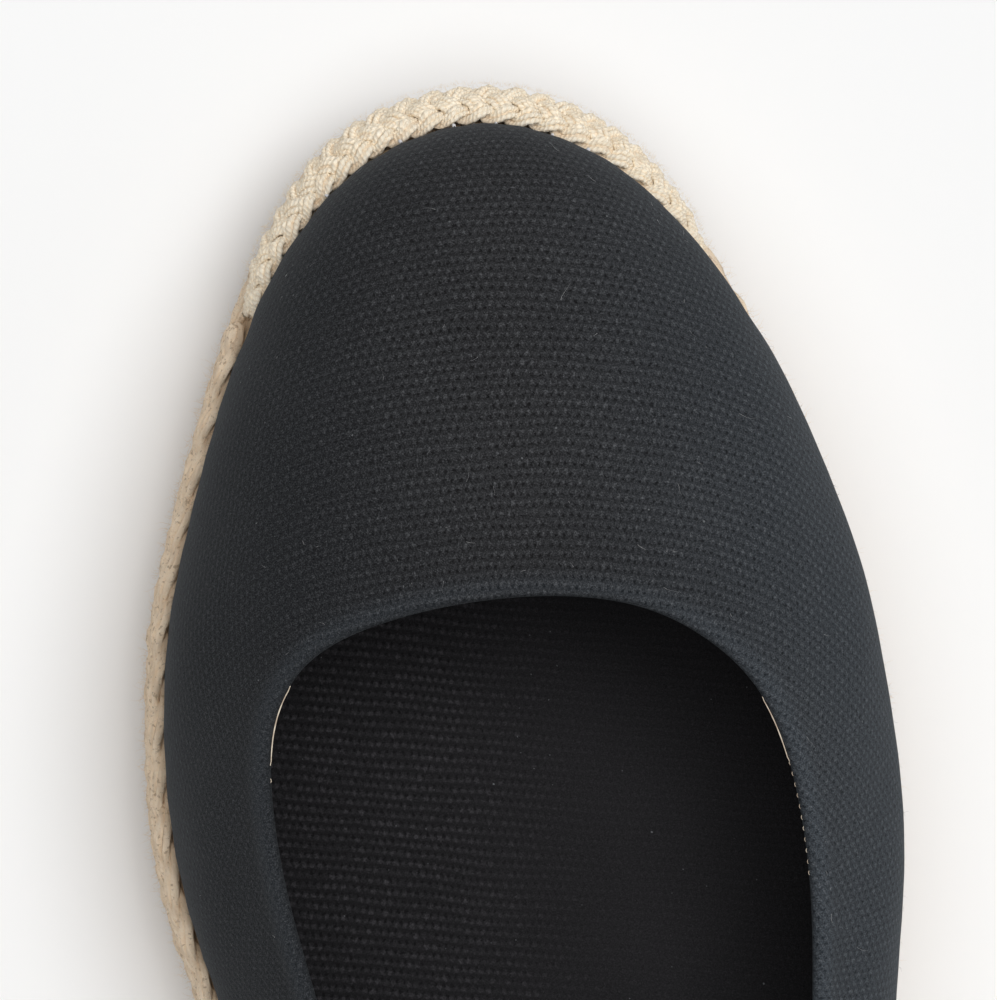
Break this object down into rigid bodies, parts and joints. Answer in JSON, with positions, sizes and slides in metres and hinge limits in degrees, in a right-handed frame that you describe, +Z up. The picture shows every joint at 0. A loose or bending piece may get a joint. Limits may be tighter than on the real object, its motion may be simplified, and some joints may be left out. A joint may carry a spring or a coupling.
{
  "type": "espadrille",
  "caption": "Flat slip-on espadrille for the right foot: canvas upper on a plaited jute sole with a cord braid round the toe and a thin rubber outsole.",
  "frame": {"origin": "middle of the shoe's footprint, on the floor it stands on", "axes": "+Y from heel to toe, +X to the lateral (little toe) side, +Z up"},
  "size_m": [0.0902, 0.2482, 0.0708],
  "materials": {
    "rubber": "matte",
    "jute": "coarse plaited fibre",
    "cotton_cord": "soft plaited cord",
    "canvas": "matte plain weave",
    "lining": "matte plain weave"
  },
  "bodies": {
    "root": {"rubber_outsole": "rubber", "jute_sole": "jute", "toe_braid": "cotton_cord", "upper": "canvas", "insole": "lining"}
  },
  "joints": []
}
